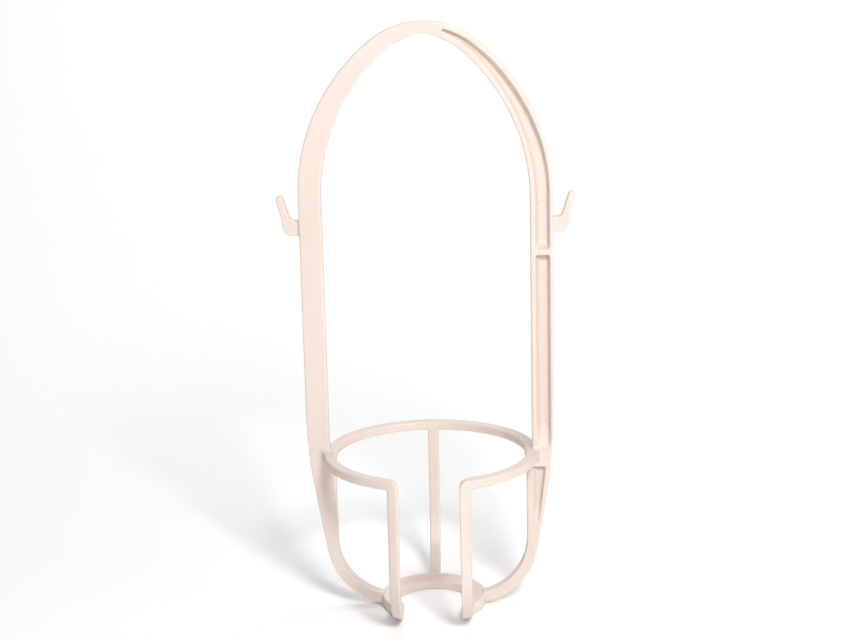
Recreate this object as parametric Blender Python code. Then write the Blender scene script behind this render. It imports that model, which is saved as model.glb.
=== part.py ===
# Bottle hanger: a moulded hoop with a caged ring, four rails and a neck collar.
# Units are metres, +Z is up, the slot for the bottle's neck faces -Y.
# The underside of the neck collar is at z = 0. Each member is drawn round the ring's
# axis and then carried by the empty that all of them are parented to.
import bpy
import bmesh
from math import pi, sin, cos, sqrt, atan2, acos

# ---------------------------------------------------------------- dimensions
MM = 0.001
GAP = 0.3 * MM                 # gap at each split between neighbouring members

# hoop (bows, crown and arms), in the XZ plane
HOOP_HALF_WIDTH = 62.6 * MM    # outer half span of the two arms
HOOP_INNER_HALF = 51.4 * MM    # inner half span of the two arms
HOOP_TOP = 299.3 * MM          # top of the hoop above the base
HOOP_INNER_TOP = 292.2 * MM    # top of the inner arch, before the hook seat
SIDE_ARC = 96.5 * MM           # radius of the long side arcs, outer and inner
APEX_ARC = 41.7 * MM           # radius of the outer arc at the apex
APEX_ARC_INNER = 27.5 * MM     # radius of the inner arc at the apex
HOOP_HALF_DEPTH = 3.5 * MM     # half the depth of the hoop and arms along Y
BOW_FOOT = 211.5 * MM          # height at which the bows turn into straight arms
CROWN_HALF = 9.0 * MM          # half length of the solid crown block
SEAT_RADIUS = 12.0 * MM        # radius of the hook seat under the crown
SEAT_TOP = 293.5 * MM          # height of the hook seat's highest point

# channel sunk into one face of each bow and arm
RIM_OUT = 1.7 * MM             # wall left at the outer edge of the arms
RIM_IN = 2.3 * MM              # wall left at the inner edge of the arms
RIM_OUT_CROWN = 2.4 * MM       # the walls thicken towards the crown
RIM_IN_CROWN = 3.6 * MM
CHANNEL_DEPTH = 4.0 * MM
RIB_LOW = 184.0 * MM           # cross rib between upper and lower channel
RIB_HIGH = 186.4 * MM
CHANNEL_FOOT = 84.6 * MM       # lower end of the lower channel
END_DRAFT_UPPER = 0.75         # rise of each channel's lower end wall per unit of depth
END_DRAFT_LOWER = 1.25
WEB_POCKET_TOP = 74.6 * MM
WEB_POCKET_BEND = 57.0 * MM    # below this height the pocket's floor rises to the face
WEB_POCKET_FOOT = 42.5 * MM
WEB_POCKET_DEPTH = 3.5 * MM

# side hooks
HOOK_LOW = 195.35 * MM
HOOK_SEAT = 202.85 * MM
HOOK_TIP = 215.15 * MM
HOOK_REACH = 73.55 * MM        # outermost half width over the prongs
HOOK_TIP_RADIUS = 1.7 * MM
HOOK_FRONT = -2.7 * MM
HOOK_BACK = 3.5 * MM

# ring round the bottle's body
RING_INNER = 48.5 * MM
RING_OUTER = 54.4 * MM
RING_TOP = 83.3 * MM
RING_LOW = 78.8 * MM

# shoulder rails
RAIL_ARC = 30.0 * MM           # inner radius of the shoulder bend
RAIL_THICK = RING_OUTER - RING_INNER
RAIL_CENTRE_R = RING_INNER - RAIL_ARC
RAIL_CENTRE_Z = 36.0 * MM
RAIL_WIDTH = 5.3 * MM          # the two front rails
REAR_RAIL_WIDTH = 5.6 * MM
SLOT_HALF = 14.95 * MM         # half the clear width of the front slot
CORNER = 4.0 * MM              # rounding where the ring turns down into a rail

# side webs
WEB_TOP_Z = RING_TOP
WEB_HALF_DEPTH_LOW = 2.8 * MM

# neck collar
COLLAR_INNER = 18.6 * MM
COLLAR_OUTER = 26.7 * MM
COLLAR_TOP_OUT = 6.2 * MM      # the seat slopes inward like the bottle's shoulder
COLLAR_TOP_IN = 4.6 * MM

IVORY = (0.88, 0.80, 0.74, 1.0)

# ---------------------------------------------------------------- clean start
for ob in list(bpy.data.objects):
    bpy.data.objects.remove(ob, do_unlink=True)


def material(name, tint):
    mat = bpy.data.materials.new(name)
    mat.use_nodes = True
    bsdf = mat.node_tree.nodes["Principled BSDF"]
    colour = tuple(c * tint for c in IVORY[:3]) + (1.0,)
    bsdf.inputs["Base Color"].default_value = colour
    bsdf.inputs["Roughness"].default_value = 0.42
    bsdf.inputs["Metallic"].default_value = 0.0
    mat.diffuse_color = colour
    return mat


# The ring is open at the front, so the outline reaches less far forward than back.
# The whole hanger is set so that the origin is under the middle of its outline.
FRONT_REACH = sqrt(RING_OUTER ** 2 - SLOT_HALF ** 2)
CENTRE_SHIFT = (RING_OUTER - FRONT_REACH) / 2

root = bpy.data.objects.new("hanger", None)
root.location = (0.0, -CENTRE_SHIFT, 0.0)
bpy.context.scene.collection.objects.link(root)


def add_object(name, bm, tint=1.0, cutter=False):
    bmesh.ops.recalc_face_normals(bm, faces=bm.faces)
    mesh = bpy.data.meshes.new(name)
    bm.to_mesh(mesh)
    bm.free()
    ob = bpy.data.objects.new(name, mesh)
    bpy.context.scene.collection.objects.link(ob)
    ob.parent = root
    if cutter:
        ob.hide_render = True
        ob.display_type = 'WIRE'
    else:
        mesh.materials.append(material(name + "_plastic", tint))
        mesh.shade_smooth()
        mesh.set_sharp_from_angle(angle=0.6)
    return ob


def prism(outline, y0, y1, taper=None):
    # closed prism: an XZ outline extruded along Y; taper scales Y with height
    bm = bmesh.new()
    front = [bm.verts.new((x, y0, z)) for x, z in outline]
    face = bm.faces.new(front)
    out = bmesh.ops.extrude_face_region(bm, geom=[face])
    moved = [g for g in out["geom"] if isinstance(g, bmesh.types.BMVert)]
    bmesh.ops.translate(bm, verts=moved, vec=(0, y1 - y0, 0))
    if taper:
        for v in bm.verts:
            v.co.y *= taper(v.co.z)
    return bm


def revolve(profile, steps=96, start=0.0, sweep=2 * pi):
    # closed body of revolution from an (r, z) profile round the Z axis
    bm = bmesh.new()
    closed = abs(sweep - 2 * pi) < 1e-6
    rings = []
    count = steps if closed else steps + 1
    for i in range(count):
        a = start + sweep * i / steps
        rings.append([bm.verts.new((r * cos(a), r * sin(a), z)) for r, z in profile])
    m = len(profile)
    for i in range(steps):
        ra, rb = rings[i], rings[(i + 1) % count]
        for j in range(m):
            k = (j + 1) % m
            bm.faces.new((ra[j], rb[j], rb[k], ra[k]))
    if not closed:
        bm.faces.new(list(reversed(rings[0])))
        bm.faces.new(rings[-1])
    return bm


def block(x0, x1, y0, y1, z0, z1):
    return prism([(x0, z0), (x1, z0), (x1, z1), (x0, z1)], y0, y1)


def boolean(ob, cutter, operation='DIFFERENCE'):
    mod = ob.modifiers.new(cutter.name, 'BOOLEAN')
    mod.operation = operation
    mod.solver = 'EXACT'
    mod.object = cutter


def bevel(ob, width, segments=1, angle=0.9):
    mod = ob.modifiers.new("edge_round", 'BEVEL')
    mod.width = width
    mod.segments = segments
    mod.limit_method = 'ANGLE'
    mod.angle_limit = angle


def arc(cx, cz, r, a0, a1, n):
    return [(cx + r * cos(a0 + (a1 - a0) * i / n), cz + r * sin(a0 + (a1 - a0) * i / n))
            for i in range(n + 1)]


def mirrored(points):
    return [(-x, z) for x, z in reversed(points)]


# ---------------------------------------------------------------- hoop rule
class Arch:
    # three-centred arch: long side arcs that meet a smaller arc at the apex
    def __init__(self, half, top, r_side, r_apex):
        self.r_side, self.r_apex = r_side, r_apex
        self.cx = half - r_side
        self.cz_apex = top - r_apex
        d = r_side - r_apex
        self.cz = self.cz_apex - sqrt(d * d - self.cx * self.cx)
        self.turn = atan2(self.cz_apex - self.cz, -self.cx)

    def points(self, offset, x_end, z_end, n_side=16, n_apex=12):
        # from the foot at height z_end up to the plane x = x_end, right half
        rs, ra = self.r_side + offset, self.r_apex + offset
        pts = []
        if z_end < self.cz - 0.5 * MM:
            pts.append((self.cx + rs, z_end))
            a0 = 0.0
        else:
            a0 = atan2(z_end - self.cz, sqrt(rs * rs - (z_end - self.cz) ** 2))
        pts += arc(self.cx, self.cz, rs, a0, self.turn, n_side)
        a_end = acos(max(-1.0, min(1.0, x_end / ra)))
        if a_end > self.turn:
            pts += arc(0.0, self.cz_apex, ra, self.turn, a_end, n_apex)[1:]
        return pts


outer = Arch(HOOP_HALF_WIDTH, HOOP_TOP, SIDE_ARC, APEX_ARC)
inner = Arch(HOOP_INNER_HALF, HOOP_INNER_TOP, SIDE_ARC, APEX_ARC_INNER)

D = HOOP_HALF_DEPTH

# crown block: outer arc, inner arc and the hook seat between them
crown_half = CROWN_HALF - GAP / 2
a_out = acos(crown_half / APEX_ARC)
top_edge = arc(0.0, outer.cz_apex, APEX_ARC, a_out, pi - a_out, 12)
seat_centre = SEAT_TOP - SEAT_RADIUS
seat_half = 0.0
for i in range(1, 900):
    x = i * 0.01 * MM
    z_seat = seat_centre + sqrt(SEAT_RADIUS ** 2 - x * x)
    z_arch = inner.cz_apex + sqrt(APEX_ARC_INNER ** 2 - x * x)
    if z_seat > z_arch:
        seat_half = x
a_in = acos(crown_half / APEX_ARC_INNER)
a_seat = acos(seat_half / APEX_ARC_INNER)
left_lip = arc(0.0, inner.cz_apex, APEX_ARC_INNER, pi - a_in, pi - a_seat, 3)
seat_angle = acos(seat_half / SEAT_RADIUS)
seat = arc(0.0, seat_centre, SEAT_RADIUS, pi - seat_angle, seat_angle, 8)
right_lip = arc(0.0, inner.cz_apex, APEX_ARC_INNER, a_seat, a_in, 3)
crown_outline = top_edge + left_lip + seat[1:-1] + right_lip
crown = add_object("hoop_crown", prism(crown_outline, -D, D), 1.0)
bevel(crown, 0.6 * MM, 2)

# bows
bow_start = CROWN_HALF + GAP / 2
bow_foot = BOW_FOOT + GAP / 2
bow_outline = (outer.points(0.0, bow_start, bow_foot)
               + list(reversed(inner.points(0.0, bow_start, bow_foot))))
channel_start = CROWN_HALF + 0.6 * MM


def thickening(arch, foot_offset, crown_offset):
    # offset curve whose distance from the arch grows from the arm to the crown
    low = arch.points(foot_offset, channel_start, bow_foot - 2 * MM)
    high = arch.points(crown_offset, channel_start, bow_foot - 2 * MM)
    n = len(low) - 1
    share = [min(1.0, 1.6 * i / n) for i in range(n + 1)]
    return [(a[0] + (b[0] - a[0]) * t, a[1] + (b[1] - a[1]) * t)
            for a, b, t in zip(low, high, share)]


bow_channel = (thickening(outer, -RIM_OUT, -RIM_OUT_CROWN)
               + list(reversed(thickening(inner, RIM_IN, RIM_IN_CROWN))))
right_bow = add_object("right_bow", prism(bow_outline, -D, D), 0.99)
left_bow = add_object("left_bow", prism(mirrored(bow_outline), -D, D), 1.01)
cut_rb = add_object("cut_right_bow", prism(bow_channel, -D - 1 * MM, -D + CHANNEL_DEPTH), cutter=True)
cut_lb = add_object("cut_left_bow", prism(mirrored(bow_channel), D - CHANNEL_DEPTH, D + 1 * MM), cutter=True)
boolean(right_bow, cut_rb)
boolean(left_bow, cut_lb)

# straight arms
arm_top = BOW_FOOT - GAP / 2
arm_foot = RING_TOP + GAP
XO, XI = HOOP_HALF_WIDTH, HOOP_INNER_HALF
right_arm = add_object("right_arm", block(XI, XO, -D, D, arm_foot, arm_top), 0.98)
left_arm = add_object("left_arm", block(-XO, -XI, -D, D, arm_foot, arm_top), 1.0)


def channel(side, xa, xb, z_low, z_high, rise):
    # straight channel sunk from the face at y = -side * D, its lower end wall leaning back
    out = 1 * MM
    bm = bmesh.new()
    rings = []
    for depth in (-out, CHANNEL_DEPTH):
        y = side * (depth - D)
        low = z_low + rise * depth
        rings.append([bm.verts.new(p) for p in ((xa, y, low), (xb, y, low), (xb, y, z_high), (xa, y, z_high))])
    bm.faces.new(rings[0])
    bm.faces.new(rings[1])
    for k in range(4):
        m = (k + 1) % 4
        bm.faces.new((rings[0][k], rings[0][m], rings[1][m], rings[1][k]))
    return bm


for ob, side in ((right_arm, 1), (left_arm, -1)):
    xa, xb = sorted((side * (XI + RIM_IN), side * (XO - RIM_OUT)))
    tag = "right" if side > 0 else "left"
    boolean(ob, add_object("cut_" + tag + "_upper",
                           channel(side, xa, xb, RIB_HIGH, arm_top + 2 * MM, END_DRAFT_UPPER), cutter=True))
    boolean(ob, add_object("cut_" + tag + "_lower",
                           channel(side, xa, xb, CHANNEL_FOOT, RIB_LOW, END_DRAFT_LOWER), cutter=True))

# side hooks: a base that grows out of the arm and a prong that leans outward
tip_x = HOOK_REACH - HOOK_TIP_RADIUS
tip_z = HOOK_TIP - HOOK_TIP_RADIUS
lean = 0.24
root_x = HOOP_HALF_WIDTH + GAP
hook_outline = [(root_x, HOOK_SEAT)]
hook_outline += [(66.2 * MM, HOOK_SEAT)]
hook_outline += arc(66.0 * MM, HOOK_SEAT + 1.9 * MM, 1.9 * MM, -pi / 2 + 0.5, -0.25, 4)
hook_outline += arc(tip_x, tip_z, HOOK_TIP_RADIUS, pi - 0.25, -0.2, 8)
hook_outline += [(69.9 * MM, HOOK_LOW + 3.4 * MM)]
hook_outline += arc(66.4 * MM, HOOK_LOW + 3.7 * MM, 3.7 * MM, -0.35, -pi / 2, 4)[1:]
hook_outline += [(root_x, HOOK_LOW)]
right_hook = add_object("right_side_hook", prism(hook_outline, HOOK_FRONT, HOOK_BACK), 1.02)
left_hook = add_object("left_side_hook", prism(mirrored(hook_outline), HOOK_FRONT, HOOK_BACK), 1.02)
bevel(right_hook, 0.5 * MM)
bevel(left_hook, 0.5 * MM)

# ---------------------------------------------------------------- cage ring
# The webs carry the ring at both sides, so it is three arcs: one behind and two in front.
ring_section = [(RING_INNER, RING_LOW), (RING_OUTER, RING_LOW), (RING_OUTER, RING_TOP), (RING_INNER, RING_TOP)]
side_line = D + GAP
a_in = atan2(side_line, RING_INNER) - 0.02


def ring_arc(name, start, sweep, steps, tint):
    return add_object(name, revolve(ring_section, steps, start, sweep), tint)


def keep_box(name, x0, x1, y0, y1):
    return add_object(name, block(x0, x1, y0, y1, RING_LOW - 5 * MM, RING_TOP + 5 * MM), cutter=True)


far = RING_OUTER + 5 * MM
rear_arc = ring_arc("ring_rear_arc", a_in, pi - 2 * a_in, 48, 0.96)
boolean(rear_arc, keep_box("keep_rear_arc", -far, far, side_line, far), 'INTERSECT')
flare = arc(-SLOT_HALF - CORNER, RING_TOP - CORNER, CORNER, 0.0, pi / 2, 5)
slot_outline = ([(-SLOT_HALF, RING_LOW - 5 * MM)] + flare
                + [(-SLOT_HALF - CORNER, RING_TOP + 3 * MM), (SLOT_HALF + CORNER, RING_TOP + 3 * MM)]
                + mirrored(flare) + [(SLOT_HALF, RING_LOW - 5 * MM)])
slot_cut = add_object("cut_ring_slot", prism(slot_outline, -far, 0.0), cutter=True)
for side, tag in ((1, "right"), (-1, "left")):
    start = -pi / 2 if side > 0 else -pi + a_in
    front_arc = ring_arc(tag + "_front_arc", start, pi / 2 - a_in, 24, 0.96 + 0.01 * side)
    boolean(front_arc, keep_box("keep_" + tag + "_front_arc", -far, far, -far, -side_line), 'INTERSECT')
    boolean(front_arc, slot_cut)

# ---------------------------------------------------------------- shoulder rails
def rail_profile(r_end, z_top, n=10):
    # constant-thickness (r, z) strip: straight down, then round the shoulder to r_end
    ri, ro = RAIL_ARC, RAIL_ARC + RAIL_THICK
    a_i = acos((r_end - RAIL_CENTRE_R) / ri)
    a_o = acos((r_end - RAIL_CENTRE_R) / ro)
    inside = arc(RAIL_CENTRE_R, RAIL_CENTRE_Z, ri, -a_i, 0.0, n)
    outside = arc(RAIL_CENTRE_R, RAIL_CENTRE_Z, ro, 0.0, -a_o, n)
    return (inside + [(RING_INNER, z_top), (RING_OUTER, z_top)] + outside)


rail_top = RING_LOW - GAP
profile = rail_profile(COLLAR_OUTER + GAP, rail_top)

rear = add_object("rear_rail", revolve(profile, 6, pi / 2 - 0.14, 0.28), 0.95)
boolean(rear, add_object("keep_rear_rail", block(-REAR_RAIL_WIDTH / 2, REAR_RAIL_WIDTH / 2, 0.0, 80 * MM, -5 * MM, 90 * MM),
                         cutter=True), 'INTERSECT')
for side, tag in ((1, "right"), (-1, "left")):
    mid = -pi / 2 + side * 0.60
    rail = add_object(tag + "_front_rail", revolve(profile, 20, mid - 0.45, 0.90), 0.97 + 0.01 * side)
    xa, xb = sorted((side * SLOT_HALF, side * (SLOT_HALF + RAIL_WIDTH)))
    boolean(rail, add_object("keep_" + tag + "_rail", block(xa, xb, -80 * MM, 0.0, -5 * MM, 90 * MM),
                             cutter=True), 'INTERSECT')

# ---------------------------------------------------------------- side webs
# The outer edge runs straight from the arm and touches the shoulder arc.
ri, ro = RAIL_ARC, RAIL_ARC + RAIL_THICK
corner_x, corner_z = HOOP_HALF_WIDTH, WEB_TOP_Z
dx, dz = corner_x - RAIL_CENTRE_R, corner_z - RAIL_CENTRE_Z
touch = atan2(dz, dx) - acos(ro / sqrt(dx * dx + dz * dz))
web_r = COLLAR_OUTER + GAP
a_o = acos((web_r - RAIL_CENTRE_R) / ro)
a_i = acos((web_r - RAIL_CENTRE_R) / ri)
web_outline = ([(corner_x, corner_z)]
               + arc(RAIL_CENTRE_R, RAIL_CENTRE_Z, ro, touch, -a_o, 12)
               + arc(RAIL_CENTRE_R, RAIL_CENTRE_Z, ri, -a_i, 0.0, 12)
               + [(RING_INNER, corner_z)])


def web_depth(z):
    share = WEB_HALF_DEPTH_LOW + (HOOP_HALF_DEPTH - WEB_HALF_DEPTH_LOW) * z / WEB_TOP_Z
    return share


# the pocket under the channel, three levels of (inner x, outer x, height, depth)
pocket_levels = [(51.9 * MM, 58.2 * MM, WEB_POCKET_TOP, WEB_POCKET_DEPTH),
                 (52.2 * MM, 56.0 * MM, WEB_POCKET_BEND, WEB_POCKET_DEPTH),
                 (52.6 * MM, 54.5 * MM, WEB_POCKET_FOOT, 0.5 * MM)]


def web_pocket(side):
    bm = bmesh.new()
    face, floor = [], []
    for xa, xb, z, depth in pocket_levels:
        face.append([bm.verts.new((side * x, -side * (D + 1 * MM), z)) for x in (xa, xb)])
        floor.append([bm.verts.new((side * x, -side * (D - depth), z)) for x in (xa, xb)])
    for a in (0, 1):
        bm.faces.new((face[a][0], face[a][1], face[a + 1][1], face[a + 1][0]))
        bm.faces.new((floor[a][0], floor[a][1], floor[a + 1][1], floor[a + 1][0]))
        for b in (0, 1):
            bm.faces.new((face[a][b], face[a + 1][b], floor[a + 1][b], floor[a][b]))
    for end in (0, 2):
        bm.faces.new((face[end][0], face[end][1], floor[end][1], floor[end][0]))
    return bm


for side, tag in ((1, "right"), (-1, "left")):
    outline = web_outline if side > 0 else mirrored(web_outline)
    web = add_object(tag + "_web", prism(outline, -1.0, 1.0, web_depth), 0.97)
    boolean(web, add_object("cut_" + tag + "_web_pocket", web_pocket(side), cutter=True))

# ---------------------------------------------------------------- neck collar
collar = add_object("neck_collar", revolve([(COLLAR_INNER, 0.0), (COLLAR_OUTER, 0.0),
                                            (COLLAR_OUTER, COLLAR_TOP_OUT), (COLLAR_INNER, COLLAR_TOP_IN)], 72), 0.94)
boolean(collar, add_object("cut_collar_slot", block(-SLOT_HALF, SLOT_HALF, -40 * MM, 0.0, -5 * MM, 20 * MM),
                           cutter=True))
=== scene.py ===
# Looks of the bottle hanger: one moulding, shaped as a signed distance field in millimetres
# round the ring's axis, then meshed member by member so that every member stays a named piece.
import math
import bpy
import bmesh
import numpy as np
from mathutils import Matrix, Vector


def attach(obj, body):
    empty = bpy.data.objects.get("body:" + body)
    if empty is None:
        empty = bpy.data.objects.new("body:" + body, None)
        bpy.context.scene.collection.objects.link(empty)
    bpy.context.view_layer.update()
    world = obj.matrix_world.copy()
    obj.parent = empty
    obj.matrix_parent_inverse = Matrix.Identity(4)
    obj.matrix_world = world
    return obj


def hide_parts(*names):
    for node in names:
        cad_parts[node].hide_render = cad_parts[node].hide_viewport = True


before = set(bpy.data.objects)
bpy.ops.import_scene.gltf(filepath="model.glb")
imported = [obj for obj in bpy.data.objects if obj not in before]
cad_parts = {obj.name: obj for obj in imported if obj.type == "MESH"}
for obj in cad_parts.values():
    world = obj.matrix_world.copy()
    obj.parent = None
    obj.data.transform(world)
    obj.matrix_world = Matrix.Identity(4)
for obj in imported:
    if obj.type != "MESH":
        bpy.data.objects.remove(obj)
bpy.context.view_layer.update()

# ------------------------------------------------------------------ dimensions, mm
HOOP_HALF, HOOP_IN, HOOP_TOP, HOOP_IN_TOP = 62.6, 51.4, 299.3, 292.2
SIDE_ARC, APEX_ARC, APEX_ARC_IN = 96.5, 41.7, 27.5
HOOP_DEPTH = 3.5
SEAT_R, SEAT_TOP = 12.0, 293.5
RIM_OUT, RIM_IN = 1.7, 2.3
FLOOR_Y = 0.5
RIB_LOW, RIB_HIGH, CHANNEL_FOOT = 184.0, 186.4, 84.6
RING_IN, RING_OUT, RING_TOP, RING_LOW = 48.5, 54.4, 83.3, 78.8
BEND, WALL = 30.0, 5.9
BEND_R, BEND_Z = RING_IN - BEND, 36.0
RAIL_W, REAR_W, SLOT = 5.3, 5.6, 14.95
COL_IN, COL_OUT, COL_TOP_OUT, COL_TOP_IN = 18.6, 26.7, 6.2, 4.6
SHIFT_Y = (RING_OUT - math.sqrt(RING_OUT ** 2 - SLOT ** 2)) / 2
CELL = 0.5


# ------------------------------------------------------------------ field helpers
def rmax(a, b, r):
    # intersection with a rounded edge
    u = np.maximum(a + r, 0.0)
    v = np.maximum(b + r, 0.0)
    return np.minimum(-r, np.maximum(a, b)) + np.sqrt(u * u + v * v)


def rmin(a, b, r):
    # union with a fillet
    u = np.maximum(r - a, 0.0)
    v = np.maximum(r - b, 0.0)
    return np.maximum(r, np.minimum(a, b)) - np.sqrt(u * u + v * v)


def smooth(a, lo, hi):
    t = np.clip((a - lo) / (hi - lo), 0.0, 1.0)
    return t * t * (3 - 2 * t)


class Arch:
    # three-centred arch, exact distance to the curve, negative inside
    def __init__(self, half, top, r_side, r_apex):
        self.half, self.rs, self.ra = half, r_side, r_apex
        self.cx, self.za = half - r_side, top - r_apex
        d = r_side - r_apex
        self.zs = self.za - math.sqrt(d * d - self.cx * self.cx)
        self.dx, self.dz = -self.cx / d, (self.za - self.zs) / d

    def __call__(self, ax, z):
        side = np.hypot(ax - self.cx, z - self.zs) - self.rs
        apex = np.hypot(ax, z - self.za) - self.ra
        over = ax * self.dz - (z - self.za) * self.dx < 0
        d = np.where(over, apex, side)
        return np.where(z < self.zs, ax - self.half, d)


arch_out = Arch(HOOP_HALF, HOOP_TOP, SIDE_ARC, APEX_ARC)
arch_in = Arch(HOOP_IN, HOOP_IN_TOP, SIDE_ARC, APEX_ARC_IN)

_dx, _dz = HOOP_HALF - BEND_R, RING_TOP - BEND_Z
TOUCH = math.atan2(_dz, _dx) - math.acos((BEND + WALL) / math.hypot(_dx, _dz))
TN = (math.cos(TOUCH), math.sin(TOUCH))


def envelope(r, z):
    # outside of the bottle's body and shoulder: positive in the material
    return np.where(z > BEND_Z, r - RING_IN, np.hypot(r - BEND_R, z - BEND_Z) - BEND)


def shell_out(r, z):
    return np.where(z > BEND_Z, r - RING_OUT, np.hypot(r - BEND_R, z - BEND_Z) - (BEND + WALL))


def low_out(ax, z):
    # outer edge of the side webs: straight, touching the shoulder bend
    px, pz = ax - BEND_R, z - BEND_Z
    line = px * TN[0] + pz * TN[1] - (BEND + WALL)
    bend = np.hypot(px, pz) - (BEND + WALL)
    return np.where(px * TN[1] - pz * TN[0] > 0, bend, line)


def hook_field(ax, y, z):
    # prong: a tapering round-ended bar, on a rounded base
    a = np.array([68.2, 200.2]); b = np.array([71.85, 213.45])
    ab = b - a
    t = np.clip(((ax - a[0]) * ab[0] + (z - a[1]) * ab[1]) / (ab @ ab), 0.0, 1.0)
    prong = np.hypot(ax - a[0] - t * ab[0], z - a[1] - t * ab[1]) - (2.1 - 0.4 * t)
    bx, bz, hw, hh, cr = 65.7, 199.1, 4.15, 3.75, 2.8
    qx, qz = np.abs(ax - bx) - hw + cr, np.abs(z - bz) - hh + cr
    out = np.hypot(np.maximum(qx, 0), np.maximum(qz, 0)) + np.minimum(np.maximum(qx, qz), 0) - cr
    qx, qz = np.abs(ax - 64.0) - 2.6, np.abs(z - bz) - hh
    inn = np.maximum(qx, qz)
    base = np.minimum(out, inn)
    h2 = rmin(prong, base, 2.0)
    return rmax(h2, np.abs(y - 0.35) - 3.05, 0.65)


def field(x, y, z):
    ax = np.abs(x)
    r = np.hypot(x, y)
    # ---- hoop, arms and webs: one profile in the XZ plane
    d_out = rmax(arch_out(ax, z), low_out(ax, z), 3.0)
    d_in = arch_in(ax, z)
    seat = np.hypot(x, z - (SEAT_TOP - SEAT_R)) - SEAT_R
    void_up = rmax(rmin(d_in, seat, 1.5), RING_TOP - z, 1.0)
    void_low = np.maximum(envelope(ax, z), z - RING_TOP - 1.0)
    void = rmin(void_low, void_up, 0.4)
    prof = np.maximum(d_out, -void)
    prof = rmax(prof, 25.4 - ax - np.maximum(z - 20.0, 0.0) * 4.0, 0.4)
    depth = np.where(z < RING_TOP, 2.8 + 0.7 * z / RING_TOP, HOOP_DEPTH)
    F = rmax(prof, np.abs(y) - depth, 0.75)
    # ---- channels: right member from the front, left member from the back
    yy = np.where(x < 0, -y, y)
    rim = RIM_OUT + 0.7 * smooth(z, 225.0, 268.0)
    inner = RIM_IN + 0.9 * smooth(z, 262.0, 288.0)
    wy = yy + HOOP_DEPTH
    pk = rmax(d_out + rim + (0.18 + 0.16 * smooth(z, 225.0, 268.0)) * wy, inner + 0.38 * wy - d_in, 0.3)
    cx = HOOP_HALF - RIM_OUT - 3.6
    mark = (1 - smooth(np.hypot(ax - cx, z - 208.5), 2.0, 2.4)) + (1 - smooth(np.hypot(ax - cx, z - 96.2), 2.0, 2.4))
    floor = yy - FLOOR_Y + 1.2 * smooth(z, 262.0, 294.0) - 0.22 * mark
    up = rmax(rmax(pk, 9.6 - ax, 0.9), floor, 1.1)
    up = rmax(up, (RIB_HIGH + 0.75 * (yy + HOOP_DEPTH) - z) / 1.25, 1.6)
    lo = rmax(rmax(pk, z - RIB_LOW, 1.3), floor, 1.1)
    lo = rmax(lo, (CHANNEL_FOOT + 2.2 * (yy + HOOP_DEPTH) - z) / 2.4, 1.6)
    # ---- lower pocket in the web, its floor rising to the front face at the tip
    wx, wz = 58.4 - 54.3, 74.6 - 41.5
    wl = math.hypot(wx, wz)
    wy = yy + HOOP_DEPTH
    slant = ((ax - 58.4) * wz - (z - 74.6) * wx) / wl + 0.25 * wy
    wp = rmax(slant, (51.3 + 0.7 * wy - ax) / 1.22, 0.9)
    wp = rmax(wp, z - 74.6, 1.3)
    wfloor = yy + 0.25 + 2.9 * smooth(75.6 - z, 18.0, 33.0)
    web_pocket = rmax(wp, wfloor, 1.0)
    pocket = np.minimum(np.minimum(up, lo), web_pocket)
    F = rmax(F, -pocket, 0.35)
    # ---- side hooks
    F = rmin(F, hook_field(ax, y, z), 0.8)
    # ---- ring and rails: one shell of revolution, trimmed by a front and a rear outline
    shell = np.maximum(shell_out(r, z), -envelope(r, z))
    qx, qz = SLOT - ax + 4.0, z - RING_TOP + 4.0
    corner = np.hypot(np.maximum(qx, 0), np.maximum(qz, 0)) + np.minimum(np.maximum(qx, qz), 0) - 4.0
    under_f = rmax(z - RING_LOW, SLOT + RAIL_W - ax, 0.8)
    under_r = rmax(z - RING_LOW, REAR_W / 2 - ax, 0.5)
    outline = np.where(y < 0, np.maximum(corner, -under_f), np.maximum(z - RING_TOP, -under_r))
    cage = rmax(shell, outline, 0.9)
    cage = rmax(cage, 25.4 - r, 0.4)
    # the ring's front arcs run into the arms with a generous radius, everything else is tight
    blend = 0.7 + 2.3 * smooth(z, 66.0, 78.0) * smooth(-y, -1.0, 3.0)
    F = rmin(F, cage, blend)
    # ---- neck collar with its sloping seat
    slope = (COL_TOP_OUT - COL_TOP_IN) / (COL_OUT - COL_IN)
    c = rmax(r - COL_OUT, -z, 1.2)
    c = rmax(c, COL_IN - r, 0.7)
    c = rmax(c, (z - COL_TOP_IN - (r - COL_IN) * slope) / math.hypot(1, slope), 0.6)
    c = rmax(c, np.minimum(SLOT - ax, -y), 1.1)
    F = rmin(F, c, 0.8)
    return F


# ------------------------------------------------------------------ meshing
# Nodes lie at ORG + i * CELL with cell centres on multiples of CELL, so that every split
# plane below runs through cell centres and the members meet exactly there.
LO = np.array([-75.0, -56.0, -1.5]) + CELL / 2
HI = np.array([75.0, 56.0, 301.0])
B = 8
NB = np.ceil((HI - LO) / (CELL * B)).astype(int)
NX, NY, NZ = (NB * B + 4).tolist()


def key(i, j, k):
    return (i * NY + j) * NZ + k


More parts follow.
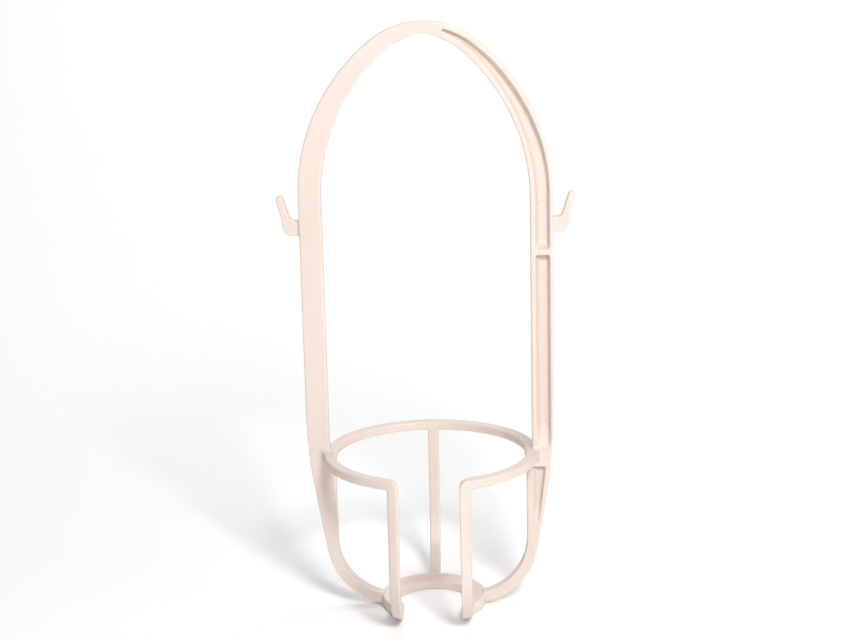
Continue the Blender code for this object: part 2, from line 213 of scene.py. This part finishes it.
def sample_blocks():
    bx, by, bz = np.meshgrid(*[np.arange(n) for n in NB], indexing="ij")
    blocks = np.stack([bx.ravel(), by.ravel(), bz.ravel()], 1)
    centre = LO + (blocks + 0.5) * B * CELL
    near = np.abs(field(*centre.T)) < 0.5 * B * CELL * math.sqrt(3) * 1.25 + 0.8
    blocks = blocks[near]
    n = B + 1
    ii, jj, kk = np.meshgrid(*[np.arange(n)] * 3, indexing="ij")
    quads, mids = [], []
    for s in range(0, len(blocks), 128):
        part = blocks[s:s + 128] * B
        I = part[:, 0, None, None, None] + ii
        J = part[:, 1, None, None, None] + jj
        K = part[:, 2, None, None, None] + kk
        V = field(LO[0] + I * CELL, LO[1] + J * CELL, LO[2] + K * CELL)
        inside = V < 0
        for axis in range(3):
            a = [slice(0, B)] * 3
            b = [slice(0, B)] * 3
            b[axis] = slice(1, B + 1)
            sa = inside[(slice(None), *a)]
            sb = inside[(slice(None), *b)]
            hit = sa != sb
            e = [q[(slice(None), *a)][hit] for q in (I, J, K)]
            out = sa[hit]          # surface faces +axis when the low node is inside
            u, v = [(1, 2), (2, 0), (0, 1)][axis]
            corners = []
            for du, dv in ((-1, -1), (0, -1), (0, 0), (-1, 0)):
                c = [q.copy() for q in e]
                c[u] = c[u] + du
                c[v] = c[v] + dv
                corners.append(key(*c))
            q = np.stack(corners, 1)
            q[~out] = q[~out][:, ::-1]
            quads.append(q)
            mid = np.stack(e, 1).astype(float)
            mid[:, axis] += 0.5
            mids.append(LO + mid * CELL)
    return np.concatenate(quads), np.concatenate(mids)


def grad(p, e=0.02):
    g = np.empty_like(p)
    for a in range(3):
        q = p.copy(); q[:, a] += e
        w = p.copy(); w[:, a] -= e
        g[:, a] = (field(*q.T) - field(*w.T)) / (2 * e)
    return g


MEMBERS = ["hoop_crown", "left_bow", "right_bow", "left_arm", "right_arm", "left_side_hook", "right_side_hook",
           "left_web", "right_web", "ring_rear_arc", "left_front_arc", "right_front_arc",
           "rear_rail", "left_front_rail", "right_front_rail", "neck_collar"]
ID = {n: i for i, n in enumerate(MEMBERS)}
CROWN_X, BOW_Z, HOOK_X, ARM_Z = 9.0, 211.5, 63.0, 84.0
RING_Y, COLLAR_X, COLLAR_Y, FRONT_Y, RAIL_Z = 4.5, 27.5, 27.5, -24.0, 77.5


def member_of(m):
    x, y, z = m.T
    right = x > 0
    side = lambda l, r_: np.where(right, ID[r_], ID[l])
    lab = np.full(len(m), -1)
    high = z > ARM_Z
    hook = high & (np.abs(x) > HOOK_X)
    bow = high & ~hook & (z > BOW_Z)
    lab = np.where(high, side("left_arm", "right_arm"), lab)
    lab = np.where(bow, side("left_bow", "right_bow"), lab)
    lab = np.where(bow & (np.abs(x) < CROWN_X), ID["hoop_crown"], lab)
    lab = np.where(hook, side("left_side_hook", "right_side_hook"), lab)
    low = ~high
    collar = low & (np.abs(x) < COLLAR_X) & (y < COLLAR_Y) & (y > FRONT_Y)
    web = low & ~collar & (np.abs(y) < RING_Y)
    back = low & ~collar & (y > RING_Y)
    front = low & ~collar & (y < -RING_Y)
    lab = np.where(web, side("left_web", "right_web"), lab)
    lab = np.where(back, np.where(z > RAIL_Z, ID["ring_rear_arc"], ID["rear_rail"]), lab)
    lab = np.where(front, np.where(z > RAIL_Z, side("left_front_arc", "right_front_arc"),
                                   side("left_front_rail", "right_front_rail")), lab)
    lab = np.where(collar, ID["neck_collar"], lab)
    return lab


quads, mids = sample_blocks()
labels = member_of(mids)
cells, faces = np.unique(quads, return_inverse=True)
faces = faces.reshape(quads.shape)
ci = np.stack([cells // (NY * NZ), (cells // NZ) % NY, cells % NZ], 1)
centres = LO + (ci + 0.5) * CELL

# start each vertex at the mean of its cell's edge crossings
corner_off = np.array([[a, b, c] for a in (0, 1) for b in (0, 1) for c in (0, 1)])
cv = np.stack([field(*(LO + (ci + o) * CELL).T) for o in corner_off], 1)
acc = np.zeros_like(centres); cnt = np.zeros(len(centres))
for a in range(8):
    for b in range(a + 1, 8):
        if np.abs(corner_off[a] - corner_off[b]).sum() != 1:
            continue
        hit = (cv[:, a] < 0) != (cv[:, b] < 0)
        t = np.where(hit, cv[:, a] / np.where(hit, cv[:, a] - cv[:, b], 1.0), 0.0)
        p = corner_off[a] + t[:, None] * (corner_off[b] - corner_off[a])
        acc += np.where(hit[:, None], p, 0.0)
        cnt += hit
verts = LO + (ci + acc / np.maximum(cnt, 1)[:, None]) * CELL

# seam vertices: cells whose faces belong to more than one member
lo_lab = np.full(len(cells), 99); hi_lab = np.full(len(cells), -1)
for c in range(4):
    np.minimum.at(lo_lab, faces[:, c], labels)
    np.maximum.at(hi_lab, faces[:, c], labels)
seam = lo_lab != hi_lab
lock = np.zeros((len(cells), 3), bool)
value = centres.copy()


def on(axis, at, where=True):
    hit = seam & (np.abs(centres[:, axis] - at) < 1e-6) & where
    lock[hit, axis] = True


cx_, cy_, cz_ = centres.T
for s in (-1, 1):
    on(0, s * CROWN_X, cz_ > BOW_Z)
    on(0, s * HOOK_X, (cz_ > 188) & (cz_ < 222))
    on(0, s * COLLAR_X, (cz_ < ARM_Z) & (np.abs(cy_) < RING_Y))
    on(1, s * RING_Y, (cz_ < ARM_Z) & (np.abs(cx_) > COLLAR_X))
on(2, BOW_Z); on(2, ARM_Z)
on(2, RAIL_Z, np.abs(cy_) > RING_Y)
on(1, COLLAR_Y, cz_ < ARM_Z)
on(1, FRONT_Y, cz_ < ARM_Z)

for step in range(5):
    f = field(*verts.T)
    g = grad(verts)
    g[lock] = 0.0
    n2 = np.maximum((g * g).sum(1), 0.05)
    move = (f / n2)[:, None] * g
    size = np.sqrt((move * move).sum(1))
    move *= np.minimum(1.0, 0.35 / np.maximum(size, 1e-9))[:, None]
    verts = verts - move
    verts[lock] = value[lock]
    # stay in the neighbourhood of the cell, so that faces can't fold over
    verts = np.clip(verts, centres - 0.8 * CELL, centres + 0.8 * CELL)
    verts[lock] = value[lock]

normals = grad(verts, 0.03)
normals /= np.maximum(np.linalg.norm(normals, axis=1), 1e-9)[:, None]
# how enclosed each point is: the field a little way off the surface is small in corners and recesses; the material
# paints shade into the enclosed places and a highlight onto the edges from these values
open_near = np.clip(field(*(verts + 1.2 * normals).T) / 1.2, 0, 1)
open_far = np.clip(field(*(verts + 4.0 * normals).T) / 4.0, 0, 1)
bury = np.clip(-field(*(verts - 1.0 * normals).T) / 1.0, 0, 1)
shade_attr = np.stack([open_near, open_far, bury, np.ones(len(verts))], 1).astype(np.float32)

world = (verts - np.array([0.0, SHIFT_Y, 0.0])) * 0.001

pieces = {}
for name in MEMBERS:
    sel = faces[labels == ID[name]]
    used, local = np.unique(sel, return_inverse=True)
    local = local.reshape(sel.shape)
    mesh = bpy.data.meshes.new(name)
    mesh.from_pydata(world[used].tolist(), [], local.tolist())
    at = mesh.attributes.new("nrm", "FLOAT_VECTOR", "POINT")
    at.data.foreach_set("vector", normals[used].astype(np.float32).ravel())
    at = mesh.attributes.new("openness", "FLOAT_COLOR", "POINT")
    at.data.foreach_set("color", shade_attr[used].ravel())
    bm = bmesh.new()
    bm.from_mesh(mesh)
    rim = [e for e in bm.edges if e.is_boundary]
    before = set(bm.faces)
    bmesh.ops.holes_fill(bm, edges=rim, sides=0)
    caps = [f for f in bm.faces if f not in before]
    for f in caps:
        f.material_index = 1
    bmesh.ops.dissolve_limit(bm, angle_limit=math.radians(1.2), use_dissolve_boundaries=False,
                             verts=list(bm.verts), edges=[e for e in bm.edges if all(f.material_index == 0 for f in e.link_faces)],
                             delimit={'MATERIAL'})
    patch = bm.faces.layers.int.new("patch")
    for i, f in enumerate(bm.faces):
        f[patch] = i
    bmesh.ops.triangulate(bm, faces=[f for f in bm.faces if len(f.verts) > 3], quad_method='BEAUTY', ngon_method='BEAUTY')
    bmesh.ops.dissolve_degenerate(bm, dist=2.0e-6, edges=list(bm.edges))
    bmesh.ops.triangulate(bm, faces=[f for f in bm.faces if len(f.verts) > 3])
    bmesh.ops.delete(bm, geom=[e for e in bm.edges if not e.link_faces], context='EDGES')
    for _ in range(4):
        flaps = [f for f in bm.faces if any(len(e.link_faces) == 1 for e in f.edges)
                 and any(len(e.link_faces) == 3 for e in f.edges)]
        if not flaps:
            break
        bmesh.ops.delete(bm, geom=flaps, context='FACES')
    # where two neighbouring patches were cut along the same line, one of them gets a midpoint
    for e in [e for e in bm.edges if len(e.link_faces) == 4]:
        a, b = e.verts
        along = (b.co - a.co).normalized()

        def side(f):
            d = next(v for v in f.verts if v not in (a, b)).co - a.co
            return (d - along * d.dot(along)).normalized()

        owners = [f[patch] for f in e.link_faces]
        twice = [o for o in owners if owners.count(o) == 2]
        lift = Vector((0, 0, 0))
        if twice:
            pair = [f for f in e.link_faces if f[patch] == twice[0]]
        else:
            # two walls touch along this edge: part the pair that folds together by a hair
            turn = [[list(f.verts)[(list(f.verts).index(a) + 1) % 3] == b, f] for f in e.link_faces]
            ahead = [f for t, f in turn if t]
            astern = [f for t, f in turn if not t]
            if not ahead or not astern:
                continue
            pair = [ahead[0], max(astern, key=lambda f: side(f).dot(side(ahead[0])))]
            lift = (side(pair[0]) + side(pair[1])).normalized() * 2.0e-5
        mid = bm.verts.new((a.co + b.co) / 2 + lift, a)
        for f in pair:
            vs = list(f.verts)
            for k in range(len(vs)):
                if {vs[k], vs[(k + 1) % len(vs)]} == {a, b}:
                    vs = vs[k:] + vs[:k]
                    break
            bm.faces.new((vs[0], mid, vs[-1]), f)
            bm.faces.new([mid] + vs[1:], f)
            bm.faces.remove(f)
    bm.faces.layers.int.remove(patch)
    # drop crumbs left where three split planes meet, and close what that opens
    seen, keep = set(), []
    for f in bm.faces:
        if f in seen:
            continue
        stack, group = [f], []
        seen.add(f)
        while stack:
            g = stack.pop()
            group.append(g)
            for e in g.edges:
                for h in e.link_faces:
                    if h not in seen:
                        seen.add(h)
                        stack.append(h)
        keep.append(group)
    crumbs = [f for group in keep if len(group) < 40 for f in group]
    if crumbs:
        bmesh.ops.delete(bm, geom=crumbs, context='FACES')
    bm.to_mesh(mesh)
    bm.free()
    pieces[name] = mesh

# smooth shading with the field's own normals; the flat ends keep theirs
for name, mesh in pieces.items():
    nv = np.empty(len(mesh.vertices) * 3, np.float32)
    mesh.attributes["nrm"].data.foreach_get("vector", nv)
    nv = nv.reshape(-1, 3)
    for f in mesh.polygons:
        f.use_smooth = True
    loop_v = np.empty(len(mesh.loops), np.int32)
    mesh.loops.foreach_get("vertex_index", loop_v)
    ln = nv[loop_v]
    is_cap = np.zeros(len(mesh.loops), bool)
    for f in mesh.polygons:
        if f.material_index == 1:
            for li in f.loop_indices:
                is_cap[li] = True
                ln[li] = f.normal
    mesh.polygons.foreach_set("material_index", np.zeros(len(mesh.polygons), np.int32))
    mesh.normals_split_custom_set([tuple(v) for v in ln.tolist()])
    mesh.attributes.remove(mesh.attributes["nrm"])


# ------------------------------------------------------------------ material
def plastic():
    mat = bpy.data.materials.new("ivory_moulded_plastic")
    mat.use_nodes = True
    nt = mat.node_tree
    nt.nodes.clear()
    N, L = nt.nodes.new, nt.links.new
    out = N("ShaderNodeOutputMaterial")
    bsdf = N("ShaderNodeBsdfPrincipled")
    L(bsdf.outputs[0], out.inputs[0])
    co = N("ShaderNodeTexCoord")
    attr = N("ShaderNodeAttribute"); attr.attribute_name = "openness"
    sep = N("ShaderNodeSeparateColor")
    L(attr.outputs["Color"], sep.inputs[0])

    def noise(scale, detail, rough=0.5):
        n = N("ShaderNodeTexNoise")
        n.inputs["Scale"].default_value = scale
        n.inputs["Detail"].default_value = detail
        n.inputs["Roughness"].default_value = rough
        L(co.outputs["Object"], n.inputs["Vector"])
        return n.outputs["Fac"]

    def ramp(fac, lo, hi, a, b):
        m = N("ShaderNodeMapRange")
        m.inputs["From Min"].default_value = lo
        m.inputs["From Max"].default_value = hi
        m.inputs["To Min"].default_value = a
        m.inputs["To Max"].default_value = b
        L(fac, m.inputs["Value"])
        return m.outputs["Result"]

    def mix(fac, a, b, mode="MIX"):
        m = N("ShaderNodeMix"); m.data_type = "RGBA"; m.blend_type = mode
        if isinstance(fac, float):
            m.inputs["Factor"].default_value = fac
        else:
            L(fac, m.inputs["Factor"])
        for sock, v in (("A", a), ("B", b)):
            s = [i for i in m.inputs if i.name == sock and i.type == "RGBA"][0]
            if isinstance(v, tuple):
                s.default_value = v
            else:
                L(v, s)
        return [o for o in m.outputs if o.type == "RGBA"][0]

    cloud = noise(26.0, 3.0)
    fine = noise(420.0, 4.0, 0.6)
    base = mix(ramp(cloud, 0.35, 0.65, 0.0, 1.0), (0.680, 0.580, 0.522, 1), (0.710, 0.606, 0.550, 1))
    base = mix(ramp(fine, 0.42, 0.62, 0.0, 0.22), base, (0.655, 0.555, 0.50, 1))
    # painted shade: the colour darkens towards brown where the moulding is enclosed, in corners, creases and
    # recesses, standing in for the shade that falls there
    painted_crevice_shade = ramp(sep.outputs[0], 0.25, 0.95, 0.08, 0.0)
    # painted shade mixed into the base colour
    base = mix(painted_crevice_shade, base, (0.50, 0.40, 0.33, 1))
    # painted highlight: the colour turns paler on the convex edges, standing in for a sheen there
    painted_edge_highlight = ramp(sep.outputs[2], 0.55, 0.98, 0.35, 0.0)
    base = mix(painted_edge_highlight, base, (0.75, 0.66, 0.61, 1))
    L(base, bsdf.inputs["Base Color"])
    haze = noise(70.0, 5.0, 0.62)
    L(ramp(haze, 0.3, 0.7, 0.31, 0.45), bsdf.inputs["Roughness"])
    bsdf.inputs["IOR"].default_value = 1.49
    bsdf.inputs["Subsurface Weight"].default_value = 0.30
    bsdf.inputs["Subsurface Radius"].default_value = (1.0, 0.62, 0.45)
    bsdf.inputs["Subsurface Scale"].default_value = 0.0022
    bump = N("ShaderNodeBump")
    bump.inputs["Strength"].default_value = 0.10
    bump.inputs["Distance"].default_value = 0.0002
    peel = noise(650.0, 3.0, 0.55)
    L(peel, bump.inputs["Height"])
    wave = N("ShaderNodeBump")
    wave.inputs["Strength"].default_value = 0.12
    wave.inputs["Distance"].default_value = 0.0006
    L(noise(95.0, 2.0, 0.5), wave.inputs["Height"])
    L(bump.outputs[0], wave.inputs["Normal"])
    L(wave.outputs[0], bsdf.inputs["Normal"])
    return mat


IVORY = plastic()
REPLACES = {n: [n] for n in MEMBERS}
for name, mesh in pieces.items():
    mesh.materials.clear()
    mesh.materials.append(IVORY)
    ob = bpy.data.objects.new("moulded_" + name, mesh)
    bpy.context.scene.collection.objects.link(ob)
    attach(ob, "root")
    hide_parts(*REPLACES[name])

# ------------------------------------------------------------------ stage
def stage_sheet():
    # floor that sweeps up into a backdrop, one smooth sheet
    bm = bmesh.new()
    rows = []
    prof = [(-5.0, 0.0), (0.9, 0.0)]
    for i in range(1, 17):
        a = (i / 16) * math.pi / 2
        prof.append((0.9 + 0.7 * math.sin(a), 0.7 - 0.7 * math.cos(a)))
    prof.append((1.6, 3.5))
    for y, z in prof:
        rows.append([bm.verts.new((x, y, z)) for x in (-5.0, 5.0)])
    for a, b in zip(rows, rows[1:]):
        bm.faces.new((a[0], a[1], b[1], b[0]))
    mesh = bpy.data.meshes.new("studio_sweep")
    bm.to_mesh(mesh); bm.free()
    for f in mesh.polygons:
        f.use_smooth = True
    mat = bpy.data.materials.new("studio_paper")
    mat.use_nodes = True
    b = mat.node_tree.nodes["Principled BSDF"]
    b.inputs["Base Color"].default_value = (0.945, 0.947, 0.95, 1)
    b.inputs["Roughness"].default_value = 0.9
    mesh.materials.append(mat)
    ob = bpy.data.objects.new("studio_sweep", mesh)
    bpy.context.scene.collection.objects.link(ob)


stage_sheet()


def area(name, loc, target, size, power, colour=(1, 1, 1)):
    light = bpy.data.lights.new(name, "AREA")
    light.shape = "RECTANGLE"
    light.size, light.size_y = size
    light.energy = power
    light.color = colour
    ob = bpy.data.objects.new(name, light)
    bpy.context.scene.collection.objects.link(ob)
    ob.location = loc
    ob.rotation_euler = (Vector(target) - Vector(loc)).to_track_quat("-Z", "Y").to_euler()
    return ob


area("key_front_right", (0.30, -0.85, 0.84), (0, 0, 0.20), (0.26, 0.26), 10.2, (1.0, 0.985, 0.97))
area("fill_front", (0.15, -1.3, 0.35), (0, 0, 0.2), (0.6, 0.6), 3.1)
area("side_right", (1.3, -0.5, 0.6), (0, 0, 0.15), (0.9, 0.9), 3.4)
area("backdrop_light", (0.0, 0.55, 1.5), (0, 1.5, 0.5), (2.0, 0.6), 17.0)
world_ = bpy.data.worlds.new("studio")
bpy.context.scene.world = world_
world_.use_nodes = True
world_.node_tree.nodes["Background"].inputs[0].default_value = (1, 1, 1, 1)
world_.node_tree.nodes["Background"].inputs[1].default_value = 0.22

# ------------------------------------------------------------------ camera
DIST, ELEV, YAW, ROLL = 909.3, 0.2373, 0.0317, 0.0227
TARGET = np.array([-0.72, -SHIFT_Y, RING_TOP + 67.87])
back = np.array([math.sin(YAW) * math.cos(ELEV), -math.cos(YAW) * math.cos(ELEV), math.sin(ELEV)])
rgt = np.array([math.cos(YAW), math.sin(YAW), 0.0])
upv = np.cross(back, rgt)
pos = (TARGET + back * DIST) * 0.001
r2 = rgt * math.cos(ROLL) - upv * math.sin(ROLL)
u2 = rgt * math.sin(ROLL) + upv * math.cos(ROLL)
cam = bpy.data.cameras.new("photo_view")
cam.sensor_width = 36.0
cam.lens = 1818.7 / 853 * 36.0
cam.clip_start = 0.05
cam_ob = bpy.data.objects.new("photo_view", cam)
bpy.context.scene.collection.objects.link(cam_ob)
M = Matrix.Identity(4)
for i in range(3):
    M[i][0], M[i][1], M[i][2], M[i][3] = r2[i], u2[i], back[i], pos[i]
cam_ob.matrix_world = M
bpy.context.scene.camera = cam_ob
bpy.context.scene.view_settings.view_transform = "Standard"
bpy.context.scene.view_settings.look = "None"
